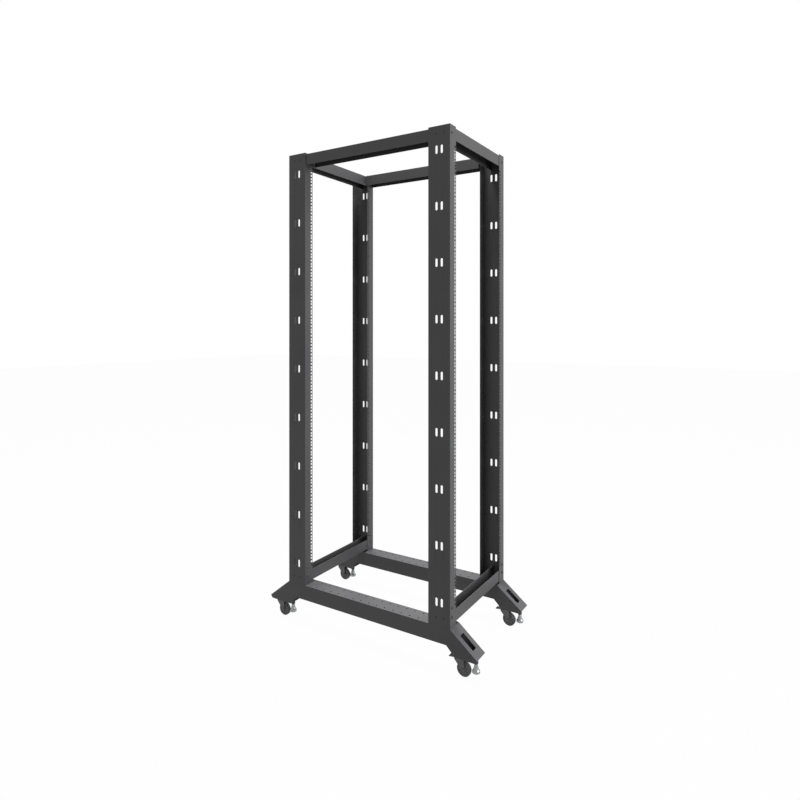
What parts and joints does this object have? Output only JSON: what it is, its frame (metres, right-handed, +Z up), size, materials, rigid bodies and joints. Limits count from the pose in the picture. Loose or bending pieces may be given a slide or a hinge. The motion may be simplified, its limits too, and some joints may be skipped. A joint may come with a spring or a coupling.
{
  "type": "open frame rack",
  "caption": "Four post open frame equipment rack with square hole rails, slotted side faces, splayed base beams, swivel castors and levelling feet.",
  "frame": {"origin": "on the floor under the middle of the rack", "axes": "+X across the 19 inch width to the right seen from the front, +Y to the rear, +Z up"},
  "size_m": [0.555, 1.094, 2.21],
  "materials": {
    "powder_coat": "fine matt powder coat",
    "castor_steel": "satin dark coating",
    "wheel_rubber": "moulded matt",
    "pedal_plastic": "moulded matt",
    "zinc_plate": "bright zinc plate"
  },
  "bodies": {
    "frame": {"post_front_left": "powder_coat", "post_front_right": "powder_coat", "post_rear_left": "powder_coat", "post_rear_right": "powder_coat", "top_bar_front": "powder_coat", "top_bar_rear": "powder_coat", "top_bar_left": "powder_coat", "top_bar_right": "powder_coat", "bottom_bar_front": "powder_coat", "bottom_bar_rear": "powder_coat", "base_beam_left": "powder_coat", "base_beam_right": "powder_coat", "foot_plate_front_left": "powder_coat", "foot_plate_front_right": "powder_coat", "foot_plate_rear_left": "powder_coat", "foot_plate_rear_right": "powder_coat", "castor_mount_front_left": "castor_steel", "castor_mount_front_right": "castor_steel", "castor_mount_rear_left": "castor_steel", "castor_mount_rear_right": "castor_steel"},
    "fork_front_left": {"castor_fork_front_left": "castor_steel"},
    "wheel_front_left": {"castor_wheel_front_left": "wheel_rubber"},
    "leveller_front_left": {"levelling_foot_front_left": "zinc_plate"},
    "pedal_front_left": {"brake_pedal_front_left": "pedal_plastic"},
    "fork_front_right": {"castor_fork_front_right": "castor_steel"},
    "wheel_front_right": {"castor_wheel_front_right": "wheel_rubber"},
    "leveller_front_right": {"levelling_foot_front_right": "zinc_plate"},
    "pedal_front_right": {"brake_pedal_front_right": "pedal_plastic"},
    "fork_rear_left": {"castor_fork_rear_left": "castor_steel"},
    "wheel_rear_left": {"castor_wheel_rear_left": "wheel_rubber"},
    "leveller_rear_left": {"levelling_foot_rear_left": "zinc_plate"},
    "fork_rear_right": {"castor_fork_rear_right": "castor_steel"},
    "wheel_rear_right": {"castor_wheel_rear_right": "wheel_rubber"},
    "leveller_rear_right": {"levelling_foot_rear_right": "zinc_plate"}
  },
  "joints": [
    {"name": "swivel_front_left", "type": "hinge", "parent": "frame", "child": "fork_front_left", "pos_m": [-0.2395, -0.459, 0.0777], "axis": [0, 0, 1], "continuous": true},
    {"name": "wheel_spin_front_left", "type": "hinge", "parent": "fork_front_left", "child": "wheel_front_left", "pos_m": [-0.2395, -0.473, 0.03], "axis": [1, 0, 0], "continuous": true},
    {"name": "levelling_screw_front_left", "type": "slide", "parent": "frame", "child": "leveller_front_left", "axis": [0, 0, -1], "range_m": [0, 0.03]},
    {"name": "brake_front_left", "type": "hinge", "parent": "fork_front_left", "child": "pedal_front_left", "pos_m": [-0.2395, -0.439, 0.0702], "axis": [-1, 0, 0], "range_deg": [0, 12]},
    {"name": "swivel_front_right", "type": "hinge", "parent": "frame", "child": "fork_front_right", "pos_m": [0.2395, -0.459, 0.0777], "axis": [0, 0, 1], "continuous": true},
    {"name": "wheel_spin_front_right", "type": "hinge", "parent": "fork_front_right", "child": "wheel_front_right", "pos_m": [0.2395, -0.473, 0.03], "axis": [1, 0, 0], "continuous": true},
    {"name": "levelling_screw_front_right", "type": "slide", "parent": "frame", "child": "leveller_front_right", "axis": [0, 0, -1], "range_m": [0, 0.03]},
    {"name": "brake_front_right", "type": "hinge", "parent": "fork_front_right", "child": "pedal_front_right", "pos_m": [0.2395, -0.439, 0.0702], "axis": [-1, 0, 0], "range_deg": [0, 12]},
    {"name": "swivel_rear_left", "type": "hinge", "parent": "frame", "child": "fork_rear_left", "pos_m": [-0.2395, 0.503, 0.0777], "axis": [0, 0, 1], "continuous": true},
    {"name": "wheel_spin_rear_left", "type": "hinge", "parent": "fork_rear_left", "child": "wheel_rear_left", "pos_m": [-0.2395, 0.489, 0.03], "axis": [1, 0, 0], "continuous": true},
    {"name": "levelling_screw_rear_left", "type": "slide", "parent": "frame", "child": "leveller_rear_left", "axis": [0, 0, -1], "range_m": [0, 0.03]},
    {"name": "swivel_rear_right", "type": "hinge", "parent": "frame", "child": "fork_rear_right", "pos_m": [0.2395, 0.503, 0.0777], "axis": [0, 0, 1], "continuous": true},
    {"name": "wheel_spin_rear_right", "type": "hinge", "parent": "fork_rear_right", "child": "wheel_rear_right", "pos_m": [0.2395, 0.489, 0.03], "axis": [1, 0, 0], "continuous": true},
    {"name": "levelling_screw_rear_right", "type": "slide", "parent": "frame", "child": "leveller_rear_right", "axis": [0, 0, -1], "range_m": [0, 0.03]}
  ]
}
